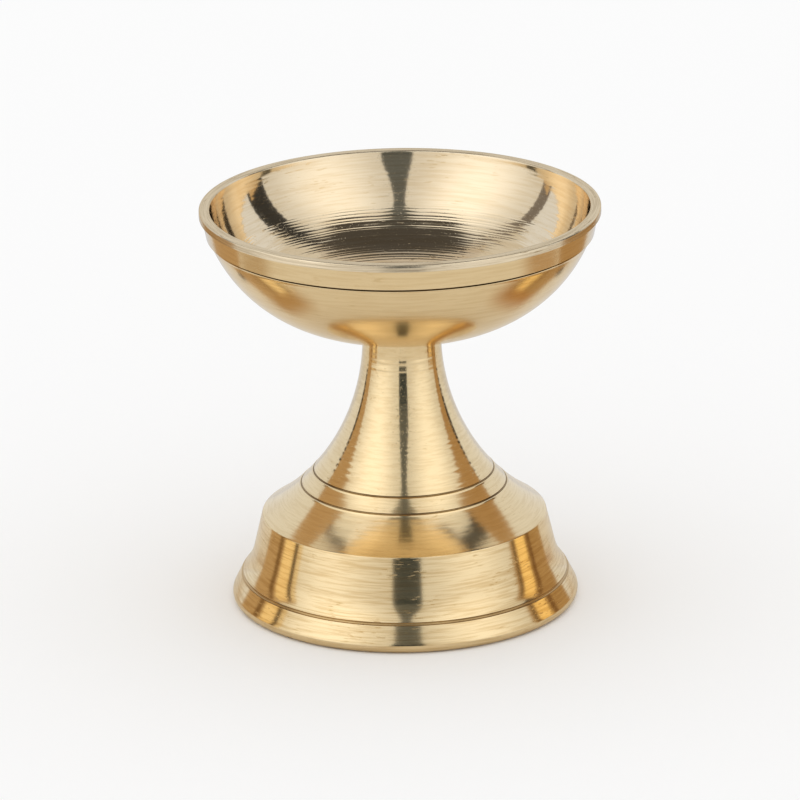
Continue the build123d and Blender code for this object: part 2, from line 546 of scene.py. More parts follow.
@dataclass(frozen=True)
class Brass:
    """Brass finish: its colour, its polish and the marks that tool, mould and use left."""

    name: str
    grain: Grain = Grain.TURNED
    colour: Colour = (0.87, 0.69, 0.42)
    shade: Colour = (0.62, 0.42, 0.19)
    edge_tint: Colour = WHITE
    roughness: float = 0.09
    spread: float = 0.03
    brushing: float = 0.5
    ring_pitch: float = 0.6 * MM
    ring_depth: float = 0.012 * MM
    grit: float = 0.1
    streaks: float = 0.25
    scratch_share: float = 0.5
    scratch_level: float = 0.64
    tarnish: float = 0.12
    pits: float = 0.3
    feed_pitch: float = 0.75 * MM
    feed_depth: float = 0.0
    tool: ToolMarks = ToolMarks()
    sand: SandMarks = SandMarks()

    def make(self) -> bpy.types.Material:
        """Build the finish.

        Returns:
            The material.
        """
        bench = Bench(self.name)
        bench.shader.inputs["Metallic"].default_value = 1.0
        bench.shader.inputs["Specular Tint"].default_value = (*self.edge_tint, 1.0)
        place = bench.node("TexCoord").outputs["Object"]
        if self.grain is Grain.CAST:
            self._cast(bench, place)
        else:
            self._turned(bench, place)
        return bench.material

    def _round(self, bench: Bench, place: Socket) -> Ring:
        """Find a point's place round the axis.

        Args:
            bench: Bench of the material.
            place: Place of the point.

        Returns:
            Radius, height, and the cosine and sine of the angle.
        """
        x, y, height = bench.node("SeparateXYZ", {0: place}).outputs
        squares = [bench.math("POWER", part, 2.0) for part in (x, y)]
        radius = bench.math("SQRT", bench.math("ADD", *squares))
        safe = bench.math("MAXIMUM", radius, AXIS_GUARD)
        return radius, height, bench.math("DIVIDE", x, safe), bench.math("DIVIDE", y, safe)

    def _marks(self, bench: Bench, ring: Ring, pitch: float, turns: float, detail: float) -> Socket:
        """Make marks that run round the axis.

        Args:
            bench: Bench of the material.
            ring: Place round the axis.
            pitch: Distance between marks.
            turns: How often a mark changes on its way round.
            detail: Octaves of finer marks.

        Returns:
            The marks, from 0 to 1.
        """
        radius, height, cosine, sine = ring
        span = turns * pitch
        feeds = {0: radius, 1: height, 2: bench.math("MULTIPLY", cosine, span)}
        where = bench.node("CombineXYZ", feeds).outputs[0]
        return bench.noise(where, 1 / pitch, detail, bench.math("MULTIPLY", sine, span))

    def _scratches(self, bench: Bench, place: Socket, ring: Ring) -> Socket:
        """Make short scratches round the axis, in clusters.

        Args:
            bench: Bench of the material.
            place: Place of the point.
            ring: Place round the axis.

        Returns:
            How much of a scratch a point is in, from 0 to the finish's share of scratches.
        """
        tool = self.tool
        nick = self._marks(bench, ring, self.ring_pitch * tool.nick_pitch, tool.nick_turns, tool.nick_detail)
        scratch = bench.ramp(nick, (self.scratch_level, self.scratch_level + tool.nick_edge))
        cluster = bench.noise(place, tool.cluster_scale, tool.cluster_detail)
        scratch = bench.math("MULTIPLY", scratch, bench.ramp(cluster, tool.cluster_range))
        return bench.math("MULTIPLY", scratch, self.scratch_share)

    def _scallops(self, bench: Bench, ring: Ring, waves: Socket) -> Socket:
        """Make the hollows that a round-nosed tool leaves side by side as it is fed along.

        Args:
            bench: Bench of the material.
            ring: Place round the axis.
            waves: Marks that make the hollows uneven.

        Returns:
            The depth of the hollows, as a share of the marks' depth.
        """
        radius, height, _, _ = ring
        along = bench.math("MULTIPLY", bench.math("ADD", radius, height), math.sqrt(0.5) / self.feed_pitch)
        along = bench.math("MULTIPLY_ADD", waves, self.tool.feed_wander, along)
        across = bench.math("SUBTRACT", bench.math("FRACT", along), 0.5)
        hollow = bench.math("MULTIPLY", bench.math("MULTIPLY", across, across), 4.0)
        return bench.math("MULTIPLY", hollow, self.feed_depth / self.ring_depth)

    def _stain(self, bench: Bench, place: Socket, streak: Socket, scratch: Socket) -> Socket:
        """Find how far use and tool have darkened the metal.

        Args:
            bench: Bench of the material.
            place: Place of the point.
            streak: Streaks that the tool left.
            scratch: Scratches.

        Returns:
            The share of the shade colour.
        """
        tool = self.tool
        cloud = bench.ramp(bench.noise(place, tool.stain_scale, tool.stain_detail), tool.stain_range)
        stain = bench.math("MULTIPLY", cloud, self.tarnish)
        stain = bench.math("MULTIPLY_ADD", bench.ramp(streak, tool.streak_range), self.streaks, stain)
        stain = bench.math("MULTIPLY_ADD", scratch, tool.scratch_stain, stain)
        return bench.math("MINIMUM", stain, 1.0)

    def _turned(self, bench: Bench, place: Socket) -> None:
        """Dress metal that a tool has gone round.

        Args:
            bench: Bench of the material.
            place: Place of the point.
        """
        tool = self.tool
        ring = self._round(bench, place)
        streak_pitch = self.ring_pitch * tool.streak_pitch
        waves = self._marks(bench, ring, self.ring_pitch, tool.wave_turns, tool.wave_detail)
        streak = self._marks(bench, ring, streak_pitch, tool.streak_turns, tool.streak_detail)
        scratch = self._scratches(bench, place, ring)
        stain = self._stain(bench, place, streak, scratch)
        bench.join(bench.mix(stain, self.colour, self.shade), "Base Color")
        rough = bench.math("MULTIPLY_ADD", streak, self.spread * 2, self.roughness - self.spread)
        bench.join(bench.math("MULTIPLY_ADD", scratch, tool.scratch_dullness, rough), "Roughness")
        cells = bench.node("TexVoronoi", {"Vector": place, "Scale": tool.pit_scale}, feature="F1")
        pit = bench.ramp(cells.outputs["Distance"], tool.pit_range, 1.0, 0.0)
        pit = bench.math("MULTIPLY", pit, self.pits)
        height = bench.math("MULTIPLY_ADD", streak, self.grit, waves)
        height = bench.math("MULTIPLY_ADD", scratch, -tool.scratch_depth, height)
        height = bench.math("MULTIPLY_ADD", pit, -1.0, height)
        if self.feed_depth:
            height = bench.math("ADD", height, self._scallops(bench, ring, waves))
        self._emboss(bench, height)
        bench.shader.inputs["Anisotropic"].default_value = self.brushing
        bench.shader.inputs["Anisotropic Rotation"].default_value = tool.brushing_turn
        bench.join(bench.node("Tangent", direction_type="RADIAL", axis="Z").outputs[0], "Tangent")

    def _cast(self, bench: Bench, place: Socket) -> None:
        """Dress metal as it left the sand mould.

        Args:
            bench: Bench of the material.
            place: Place of the point.
        """
        sand = self.sand
        grain = bench.noise(place, sand.sand_scale, sand.sand_detail)
        patch = bench.noise(place, sand.patch_scale, sand.patch_detail)
        worn = bench.ramp(patch, sand.patch_range)
        share = bench.math("MULTIPLY_ADD", worn, sand.patch_stain, self.tarnish)
        bench.join(bench.mix(share, self.colour, self.shade), "Base Color")
        rough = bench.math("MULTIPLY_ADD", grain, self.spread * 2, self.roughness - self.spread)
        bench.join(rough, "Roughness")
        self._emboss(bench, bench.math("MULTIPLY_ADD", patch, sand.patch_rise, grain))

    def _emboss(self, bench: Bench, height: Socket) -> None:
        """Let the marks stand out from the surface."""
        bump = bench.node("Bump", {"Height": height, "Strength": 1.0, "Distance": self.ring_depth})
        bench.join(bump.outputs[0], "Normal")


class Finishes:
    """The lamp's finishes, each made once."""

    PALE: ClassVar[Colour] = (0.86, 0.72, 0.52)

    def __init__(self) -> None:
        """Make every finish."""
        self._dress_stand()
        self._dress_bowl()
        self.cut = Brass("cut_brass", roughness=0.3, ring_pitch=0.35 * MM, tarnish=0.3).make()
        self.fixing = Brass(
            "fixing_brass", colour=(0.74, 0.56, 0.30), roughness=0.3, ring_pitch=0.3 * MM, tarnish=0.35,
        ).make()

    def _dress_stand(self) -> None:
        """Make the stand's finishes."""
        self.neck = Brass("neck_brass", roughness=0.12, ring_depth=0.03 * MM).make()
        self.shoulder = Brass(
            "shoulder_brass", roughness=0.14, ring_pitch=0.5 * MM, ring_depth=0.009 * MM,
        ).make()
        self.drum = Brass(
            "drum_brass", roughness=0.14, ring_pitch=0.5 * MM, ring_depth=0.006 * MM,
            scratch_share=1.0, scratch_level=0.61, streaks=0.6,
        ).make()
        # Engraved lines on the cove and the groove over the flange: brass painted dark to stand for the
        # shade in the cuts, with tarnish clouds on top
        self.line = Brass(
            "shaded_engraved_line", colour=(0.36, 0.24, 0.11), shade=(0.10, 0.06, 0.03),
            roughness=0.3, tarnish=0.7, brushing=0.0,
        ).make()
        self.shaded_groove = Brass(
            "flange_groove", colour=(0.58, 0.40, 0.19), shade=(0.28, 0.18, 0.08), roughness=0.3, tarnish=0.6,
        ).make()
        self.cast = Brass(
            "foot_inside_cast", Grain.CAST, colour=(0.60, 0.43, 0.22), shade=(0.25, 0.16, 0.08),
            roughness=0.5, spread=0.1, tarnish=0.2, ring_depth=0.06 * MM,
        ).make()

    def _dress_bowl(self) -> None:
        """Make the bowl's finishes."""
        self.outside = Brass("bowl_outside_brass", roughness=0.17, ring_depth=0.006 * MM).make()
        self.inside = Brass(
            "bowl_inside_brass", colour=self.PALE, roughness=0.08, spread=0.02, pits=0.25,
        ).make()
        self.dish = Brass(
            "bowl_dish_brass", colour=self.PALE, ring_pitch=0.9 * MM, ring_depth=0.04 * MM, pits=0.2,
            feed_pitch=0.6 * MM, feed_depth=0.013 * MM,
        ).make()
        self.lip = Brass(
            "lip_brass", colour=(0.84, 0.72, 0.54), shade=(0.42, 0.32, 0.20), edge_tint=(0.84, 0.75, 0.62),
            roughness=0.22, ring_pitch=0.4 * MM, ring_depth=0.014 * MM,
            scratch_share=1.0, streaks=0.5, pits=1.0,
        ).make()
        # Line under the bowl's band: brass painted near black, with a darkened edge tint, to stand for the
        # shade under the band's step, with tarnish clouds on top
        self.shaded_rim_line = Brass(
            "shaded_rim_line", colour=(0.22, 0.14, 0.06), shade=(0.06, 0.04, 0.02), edge_tint=(0.5, 0.4, 0.25),
            roughness=0.3, tarnish=0.7, brushing=0.0,
        ).make()


@dataclass
class Stand:
    """Hollow turned stand: flange, drum, cove and neck.

    A run is the longest stretch between two points of the mesh's outline.
    """

    finishes: Finishes
    neck_radius: float = 6.95 * MM
    shoulder_radius: float = 25.3 * MM
    shoulder_height: float = 15.9 * MM
    shoulder_round: float = 0.3 * MM
    drum_taper: float = 1.65 * MM
    drum_height: float = 6.9 * MM
    flare_width: float = 2.15 * MM
    flange_height: float = 5.0 * MM
    flange_taper: float = 2.55 * MM
    foot_round: float = 1.3 * MM
    foot_ring_width: float = 4.25 * MM
    wall: float = 2.4 * MM
    ceiling_radius: float = 6.4 * MM
    bore_radius: float = 2.65 * MM
    socket_radius: float = 4.55 * MM
    socket_depth: float = 5.7 * MM
    line_radius: float = 0.17 * MM
    line_rises: tuple[float, ...] = (8.0 * MM, 5.6 * MM)
    flange_line_radius: float = 0.32 * MM
    bead: float = 0.3 * MM
    broken_edge: float = 0.25 * MM
    cove_run: float = 0.3 * MM
    drum_run: float = 0.5 * MM
    flare_run: float = 0.4 * MM
    foot_ring_run: float = 0.7 * MM
    hollow_run: float = 0.8 * MM
    neck_ripple: Ripple = Ripple(0.004 * MM, 1.1 * MM, seed=4)
    shoulder_ripple: Ripple = Ripple(0.003 * MM, 1.2 * MM, seed=5)
    drum_ripple: Ripple = Ripple(0.002 * MM, 1.1 * MM, seed=9)
    segments: int = 144
    seat_height: float = field(init=False)

    def __post_init__(self) -> None:
        """Take the stand's height from the frame."""
        self.seat_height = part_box("stand")[1].z

    def _cove(self) -> tuple[float, float]:
        """Work out the cove's arc.

        Returns:
            Its radius, and how far its centre lies from the axis.
        """
        reach = self.shoulder_radius - self.neck_radius
        drop = self.seat_height - self.shoulder_height
        radius = (reach**2 + drop**2) / (2 * reach)
        return radius, self.neck_radius + radius

    def _on_cove(self, rise: float) -> Point:
        """Find a place on the cove.

        Args:
            rise: Its height above the shoulder.

        Returns:
            The place.
        """
        radius, centre = self._cove()
        height = self.shoulder_height + rise
        return centre - math.sqrt(radius**2 - (self.seat_height - height) ** 2), height

    def outline(self) -> Outline:
        """Draw the stand from its seat down the outside and up the hollow.

        Returns:
            The outline.
        """
        radius, centre = self._cove()
        seat = (self.neck_radius, self.seat_height)
        shoulder = (self.shoulder_radius, self.shoulder_height)
        drum_base = (shoulder[0] + self.drum_taper, shoulder[1] - self.drum_height)
        flange_top = (drum_base[0] + self.flare_width, self.flange_height)
        foot = (flange_top[0] + self.flange_taper, 0.0)
        mouth = (foot[0] - self.foot_ring_width, 0.0)
        inner = radius + self.wall
        inner_radius = shoulder[0] - self.wall

        def hollow(at: float) -> float:
            """Height of the hollow's roof at a radius."""
            return self.seat_height - math.sqrt(inner**2 - (centre - at) ** 2)

        ceiling = (self.ceiling_radius, hollow(self.ceiling_radius))
        inner_shoulder = (inner_radius, hollow(inner_radius))
        socket_end = self.seat_height - self.socket_depth
        made = Outline(seat)
        lines = [self._on_cove(rise) for rise in self.line_rises]
        heading = made.arc(lines[0], Vector((0, -1)), StandZone.NECK, self.cove_run)
        made.arc(shoulder, heading, StandZone.SHOULDER, self.cove_run)
        made.line(drum_base, StandZone.DRUM, self.drum_run)
        down_drum = Vector((self.drum_taper, -self.drum_height))
        made.arc(flange_top, down_drum, StandZone.DRUM, self.flare_run)
        made.line(foot, StandZone.DRUM, self.drum_run)
        made.line(mouth, StandZone.CUT, self.foot_ring_run)
        made.line(inner_shoulder, StandZone.CAST, self.hollow_run)
        spoke = Vector(inner_shoulder) - Vector((centre, self.seat_height))
        made.arc(ceiling, Vector((spoke.y, -spoke.x)), StandZone.CAST, self.hollow_run)
        for point in (
            (self.bore_radius, ceiling[1]),
            (self.bore_radius, socket_end),
            (self.socket_radius, socket_end),
            (self.socket_radius, self.seat_height),
            seat,
        ):
            made.line(point, StandZone.CUT)
        made.close()
        made.ripple(StandZone.NECK, self.neck_ripple)
        made.ripple(StandZone.SHOULDER, self.shoulder_ripple)
        made.ripple(StandZone.DRUM, self.drum_ripple)
        made.round_corner(mouth, self.broken_edge, StandZone.CUT, count=3)
        made.round_corner(foot, self.foot_round, StandZone.DRUM, count=9)
        made.round_corner(shoulder, self.shoulder_round, StandZone.DRUM, count=4)
        made.engrave(flange_top, self.flange_line_radius, StandZone.GROOVE)
        for place in lines:
            made.engrave(place, self.line_radius, StandZone.LINE, self.bead)
        return made

    def build(self) -> bpy.types.Object:
        """Turn the stand and put it on its body.

        Returns:
            The stand.
        """
        dressed = {
            StandZone.NECK: self.finishes.neck,
            StandZone.SHOULDER: self.finishes.shoulder,
            StandZone.DRUM: self.finishes.drum,
            StandZone.LINE: self.finishes.line,
            StandZone.GROOVE: self.finishes.shaded_groove,
            StandZone.CAST: self.finishes.cast,
            StandZone.CUT: self.finishes.cut,
        }
        finishes = [dressed[zone] for zone in StandZone]
        piece = self.outline().turn("turned_stand", self.segments, finishes)
        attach(piece, "stand")
        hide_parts("stand")
        return piece


@dataclass
class Bowl:
    """Turned bowl with a banded rim, a wick hole and a spigot.

    A run is the longest stretch between two points of the mesh's outline.
    """

    finishes: Finishes
    neck_radius: float = 6.95 * MM
    height: float = 23.8 * MM
    start_angle: float = math.radians(15)
    belly_radius: float = 18.25 * MM
    belly_rise: float = 3.6 * MM
    band_height: float = 3.6 * MM
    band_lean: float = 0.7 * MM
    band_step: float = 0.4 * MM
    lip_height: float = 1.25 * MM
    lip_width: float = 1.85 * MM
    lip_overhang: float = 0.5 * MM
    lip_round: float = 0.3 * MM
    smooth_depth: float = 9.6 * MM
    wall: float = 2.0 * MM
    floor: float = 3.0 * MM
    wick_radius: float = 1.25 * MM
    wick_depth: float = 2.5 * MM
    wick_round: float = 0.2 * MM
    spigot_radius: float = 4.5 * MM
    stud_hole: float = 2.52 * MM
    stud_top_drop: float = 1.0 * MM
    line_radius: float = 0.48 * MM
    bead: float = 0.2 * MM
    wick_run: float = 0.5 * MM
    dish_run: float = 0.3 * MM
    inside_run: float = 0.35 * MM
    lip_run: float = 0.4 * MM
    lip_side_run: float = 0.3 * MM
    band_run: float = 0.5 * MM
    wall_run: float = 0.5 * MM
    underside_run: float = 0.6 * MM
    inside_ripple: Ripple = Ripple(0.003 * MM, 1.3 * MM, seed=21)
    dish_ripple: Ripple = Ripple(0.006 * MM, 1.5 * MM, seed=22)
    outside_ripple: Ripple = Ripple(0.002 * MM, 2.0 * MM, seed=33)
    segments: int = 160
    rim_radius: float = field(init=False)
    lip_top: float = field(init=False)
    spigot_end: float = field(init=False)

    def __post_init__(self) -> None:
        """Take the bowl's reach and heights from the frame."""
        low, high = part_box("bowl")
        self.rim_radius = high.x
        self.lip_top = high.z
        self.spigot_end = low.z

    def outline(self) -> Outline:
        """Draw the bowl from the wick hole over the lip to the spigot.

        Returns:
            The outline.
        """
        seat_height = self.lip_top - self.height
        seat = Vector((self.neck_radius, seat_height))
        belly = Vector((self.belly_radius, seat_height + self.belly_rise))
        lip_foot = self.lip_top - self.lip_height
        band_foot = lip_foot - self.band_height
        band_top_radius = self.rim_radius - self.lip_overhang
        band_radius = band_top_radius - self.band_lean
        wall_top = (band_radius - self.band_step, band_foot)
        lip_inner = (self.rim_radius - self.lip_width, self.lip_top)
        lip_outer = (self.rim_radius, self.lip_top)
        floor_top = seat_height + self.floor
        wick_mouth = (self.wick_radius, floor_top)
        stud_top = seat_height - self.stud_top_drop
        start = Vector((math.cos(self.start_angle), math.sin(self.start_angle)))
        underside = Outline(seat)
        leaving = underside.arc(belly, start, BowlZone.OUTSIDE, self.underside_run)
        wall = Outline(belly)
        wall.arc(wall_top, leaving, BowlZone.OUTSIDE, self.wall_run)
        inner_belly = belly + Vector((-leaving.y, leaving.x)) * self.wall
        made = Outline((0.0, floor_top - self.wick_depth))
        made.line((self.wick_radius, floor_top - self.wick_depth), BowlZone.CUT)
        made.line(wick_mouth, BowlZone.CUT, self.wick_run)
        arriving = made.arc(inner_belly, Vector((1, 0)), BowlZone.DISH, self.dish_run)
        made.arc(lip_inner, arriving, BowlZone.INSIDE, self.inside_run)
        made.line(lip_outer, BowlZone.LIP, self.lip_run)
        made.line((self.rim_radius, lip_foot), BowlZone.LIP, self.lip_side_run)
        made.line((band_top_radius, lip_foot), BowlZone.LIP)
        made.line((band_radius, band_foot), BowlZone.OUTSIDE, self.band_run)
        made.line(wall_top, BowlZone.OUTSIDE)
        for stretch in (wall, underside):
            for point in reversed(stretch.points[:-1]):
                made.line(point, BowlZone.OUTSIDE)
        for point in (
            (self.spigot_radius, seat_height),
            (self.spigot_radius, self.spigot_end),
            (self.stud_hole, self.spigot_end),
            (self.stud_hole, stud_top),
            (0.0, stud_top),
        ):
            made.line(point, BowlZone.CUT)
        made.refinish(BowlZone.INSIDE, BowlZone.DISH, self.lip_top - self.smooth_depth)
        made.ripple(BowlZone.INSIDE, self.inside_ripple)
        made.ripple(BowlZone.DISH, self.dish_ripple)
        made.ripple(BowlZone.OUTSIDE, self.outside_ripple)
        for corner in (lip_inner, lip_outer):
            made.round_corner(corner, self.lip_round, BowlZone.LIP, count=4)
        made.round_corner(wick_mouth, self.wick_round, BowlZone.CUT, count=3)
        made.engrave(wall_top, self.line_radius, BowlZone.LINE, self.bead)
        return made

    def build(self) -> bpy.types.Object:
        """Turn the bowl and put it on its body.

        Returns:
            The bowl.
        """
        dressed = {
            BowlZone.INSIDE: self.finishes.inside,
            BowlZone.LIP: self.finishes.lip,
            BowlZone.OUTSIDE: self.finishes.outside,
            BowlZone.LINE: self.finishes.shaded_rim_line,
            BowlZone.CUT: self.finishes.cut,
            BowlZone.DISH: self.finishes.dish,
        }
        finishes = [dressed[zone] for zone in BowlZone]
        piece = self.outline().turn("turned_bowl", self.segments, finishes)
        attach(piece, "bowl")
        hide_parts("bowl")
        return piece


@dataclass
class Fixing:
    """Stud, washer and nut that draw the bowl down onto the stand.

    A run is the longest stretch between two points of the washer's outline.
    """

    # The only finish on a fixing
    FINISH: ClassVar[int] = 0

    finishes: Finishes
    pitch: float = 0.8 * MM
    thread_depth: float = 0.43 * MM
    thread_play: float = 0.05 * MM
    thread_slope: float = 1.3
    thread_crest: float = 0.15
    stud_chamfer: float = 0.5 * MM
    washer_bore: float = 2.65 * MM
    washer_round: float = 0.2 * MM
    washer_run: float = 0.5 * MM
    washer_edge_run: float = 0.3 * MM
    nut_sides: int = 6
    nut_flat_radius: float = 4.0 * MM
    nut_chamfer: float = math.radians(30)
    nut_countersink: float = 0.3 * MM
    rows_in_pitch: int = 6
    thread_segments: int = 36
    washer_segments: int = 64
    nut_segments: int = 72

    def _thread(self, height: float, angle: float) -> float:
        """Find how deep the thread is.

        Args:
            height: Height of the place.
            angle: Its angle round the axis.

        Returns:
            The depth, from 0 at the crest to 1 at the root.
        """
        wave = (height / self.pitch - angle / math.tau) % 1.0
        return min(1.0, max(0.0, self.thread_slope * abs(2 * wave - 1) - self.thread_crest))

    def _shape(
        self, grid: Grid, name: str, rings: Sequence[Vector], place: Callable[[Vector, int], Vector]
    ) -> bpy.types.Object:
        """Make a threaded piece.

        Args:
            grid: Its faces.
            name: Name of the piece.
            rings: Points of its outline.
            place: Gives a ring's point in a column.

        Returns:
            The piece.
        """
        lengths = [float(number) for number in range(len(rings))]
        zones = [self.FINISH] * (len(rings) - 1)
        return grid.build(name, rings, lengths, zones, place, [self.finishes.fixing])

    def _finish(self, piece: bpy.types.Object, body: str, node: str) -> bpy.types.Object:
        """Put a fixing on its body in place of its node.

        Args:
            piece: The fixing.
            body: Body that it rides on.
            node: Node that it replaces.

        Returns:
            The fixing.
        """
        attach(piece, body)
        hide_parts(node)
        return piece

    def stud(self) -> bpy.types.Object:
        """Make the threaded stud.

        Returns:
            The stud.
        """
        low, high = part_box("stud")
        radius = high.x
        rows = math.ceil((high.z - low.z) / self.pitch * self.rows_in_pitch)
        rings = [Vector((0.0, high.z)), Vector((radius - self.stud_chamfer, high.z))]
        rings += [Vector((radius, high.z + (low.z - high.z) * row / rows)) for row in range(1, rows)]
        rings += [Vector((radius - self.stud_chamfer, low.z)), Vector((0.0, low.z))]

        def place(ring: Vector, column: int) -> Vector:
            """Put a ring's point on the thread and its ends on their chamfers.

            Args:
                ring: Point of the outline.
                column: Number of its column.

            Returns:
                The place.
            """
            angle = math.tau * column / self.thread_segments
            end = min(ring.y - low.z, high.z - ring.y)
            reach = radius - self.thread_depth * self._thread(ring.y, angle)
            reach = min(ring.x, reach, radius - self.stud_chamfer + end)
            return Vector((reach * math.cos(angle), reach * math.sin(angle), ring.y))

        grid = Grid(self.thread_segments, closed=False)
        return self._finish(self._shape(grid, "threaded_stud", rings, place), "bowl", "stud")

    def washer(self) -> bpy.types.Object:
        """Make the washer, with the broken edges of a punched one.

        Returns:
            The washer.
        """
        low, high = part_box("washer")
        made = Outline((self.washer_bore, high.z))
        for radius, first, last in ((high.x, high.z, low.z), (self.washer_bore, low.z, high.z)):
            made.line((radius, first), self.FINISH, self.washer_run)
            made.line((radius, last), self.FINISH, self.washer_edge_run)
        made.close()
        for height in (high.z, low.z):
            made.round_corner((high.x, height), self.washer_round, self.FINISH, count=3)
        piece = made.turn("flat_washer", self.washer_segments, [self.finishes.fixing])
        return self._finish(piece, "stand", "washer")

    def nut(self) -> bpy.types.Object:
        """Make the hexagon nut with its thread.

        Returns:
            The nut.
        """
        low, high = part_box("hex_nut")
        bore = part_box("stud")[1].x + self.thread_play
        side = math.tau / self.nut_sides
        middle = (low.z + high.z) / 2
        rows = math.ceil((high.z - low.z) / self.pitch * self.rows_in_pitch)
        flat = self.nut_flat_radius
        # Mark of the rings that go out to the hexagon's flats and corners
        corner = 2 * flat
        rings = [Vector((bore + self.nut_countersink, high.z)), Vector((flat, high.z))]
        rings += [Vector((corner, high.z)), Vector((corner, low.z))]
        rings += [Vector((flat, low.z)), Vector((bore + self.nut_countersink, low.z))]
        rings += [Vector((bore, low.z + (high.z - low.z) * row / rows)) for row in range(1, rows)]
        rings.append(rings[0])

        def place(ring: Vector, column: int) -> Vector:
            """Put a ring's point on the hexagon or on the thread.

            Args:
                ring: Point of the outline.
                column: Number of its column.

            Returns:
                The place.
            """
            angle = math.tau * column / self.nut_segments
            reach, height = ring
            if math.isclose(reach, corner, rel_tol=ROUNDING):
                reach = flat / math.cos(angle % side - side / 2)
                drop = (reach - flat) * math.tan(self.nut_chamfer)
                height += drop if height < middle else -drop
            elif math.isclose(reach, bore, rel_tol=ROUNDING):
                sunk = bore + self.nut_countersink - min(height - low.z, high.z - height)
                reach = max(bore - self.thread_depth * self._thread(height, angle), sunk)
            return Vector((reach * math.cos(angle), reach * math.sin(angle), height))

        grid = Grid(self.nut_segments, closed=True)
        return self._finish(self._shape(grid, "threaded_nut", rings, place), "nut", "hex_nut")


@dataclass(frozen=True)
class Card:
    """Upright card that the metal sees and the camera doesn't, bent round the lamp's axis.

    Its sides run straight between stations, each a height above the floor and the angles of its left
    and right side, in degrees from the camera's side and growing towards +X.
    """

    name: str
    distance: float
    stations: tuple[Station, ...]
    colour: Colour
    glow: float = 0.0
    soft: Range = (0.0, 0.0)

    @classmethod
    def upright(
        cls,
        name: str,
        distance: float,
        heights: Range,
        sides: Range,
        colour: Colour,
        soft: Range = (0.0, 0.0),
    ) -> "Card":
        """Cut a card whose sides stand upright.

        Args:
            name: Name of the card.
            distance: Distance from the lamp's axis.
            heights: Heights of its foot and its top.
            sides: Angles of its left and right side.
            colour: Its colour as the metal sees it.
            soft: Share of its width and of its height over which its edges fade out.

        Returns:
            The card.
        """
        return cls(name, distance, tuple((height, *sides) for height in heights), colour, soft=soft)

    def point(self, across: float, up: float) -> Vector:
        """Find a place on the card.

        Args:
            across: Share of the way from its left side to its right side.
            up: Share of the way from its foot to its top.

        Returns:
            The place.
        """
        foot, top = self.stations[0][0], self.stations[-1][0]
        height = foot + (top - foot) * up
        spans = zip(self.stations, self.stations[1:])
        below, above = next(span for span in spans if height <= span[1][0] or span[1][0] == top)
        share = (height - below[0]) / (above[0] - below[0])
        left, right = (low + (high - low) * share for low, high in zip(below[1:], above[1:]))
        turn = math.radians(left + (right - left) * across)
        return Vector((self.distance * math.sin(turn), -self.distance * math.cos(turn), height))


@dataclass(frozen=True)
class Patch:
    """Level oval of colour that the metal sees and the camera doesn't."""

    name: str
    reach: Range
    shift: Point
    height: float
    colour: Colour
    soft: Range = (0.35, 0.35)


